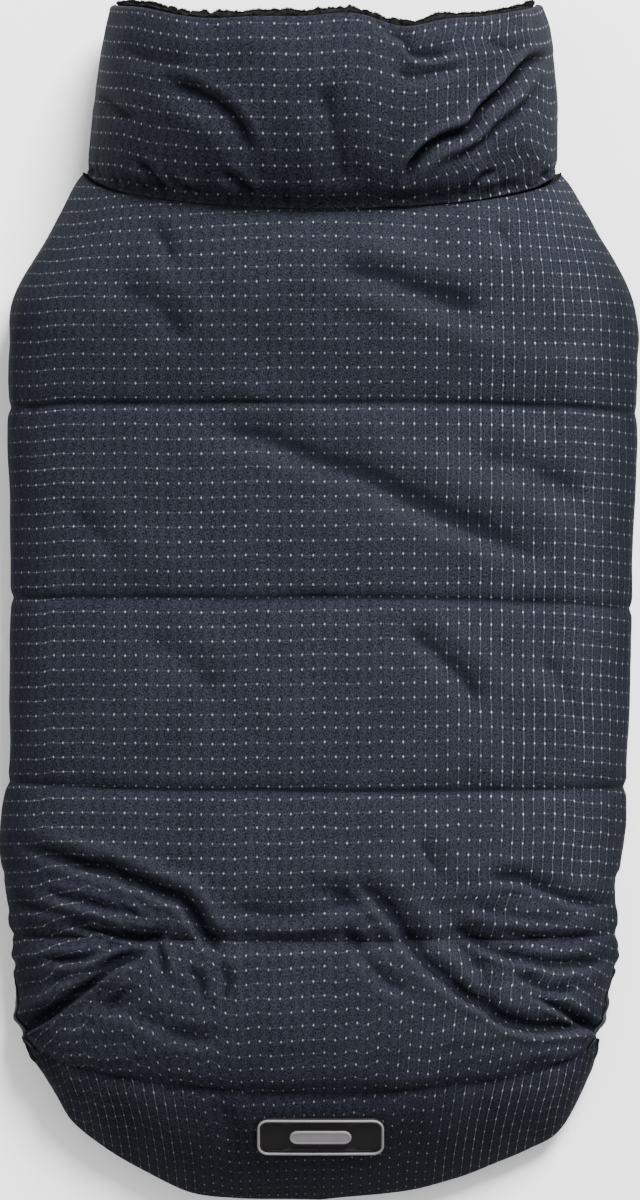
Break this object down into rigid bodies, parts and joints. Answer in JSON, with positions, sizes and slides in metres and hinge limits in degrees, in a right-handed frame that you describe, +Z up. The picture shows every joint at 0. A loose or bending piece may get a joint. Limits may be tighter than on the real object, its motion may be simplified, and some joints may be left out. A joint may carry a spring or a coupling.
{
  "type": "dog winter coat",
  "caption": "Padded dog coat with a stand-up collar, crosswise quilted back, dipped rear hem, moulded label patch and leg openings below, lying belly down and hollow.",
  "frame": {"origin": "on the surface that the coat rests on, under the middle of its outline", "axes": "+Y towards the collar, +X to the coat's own right side, +Z up out of its back"},
  "size_m": [0.2543, 0.4756, 0.0995],
  "materials": {
    "quilted_cloth": "dark slate blue woven shell with a grid of small silver dots",
    "plain_cloth": "plain dark grey woven cloth",
    "pile_lining": "black short pile fleece",
    "label_rubber": "dark moulded rubber",
    "label_silver": "grey satin raised line"
  },
  "bodies": {
    "root": {"back_panel": "quilted_cloth", "collar": "quilted_cloth", "collar_lining": "pile_lining", "hem_lining": "pile_lining", "belly_panel": "plain_cloth", "side_gusset_left": "plain_cloth", "side_gusset_right": "plain_cloth", "label": "label_rubber", "label_rim": "label_silver", "label_bar": "label_silver"}
  },
  "joints": []
}
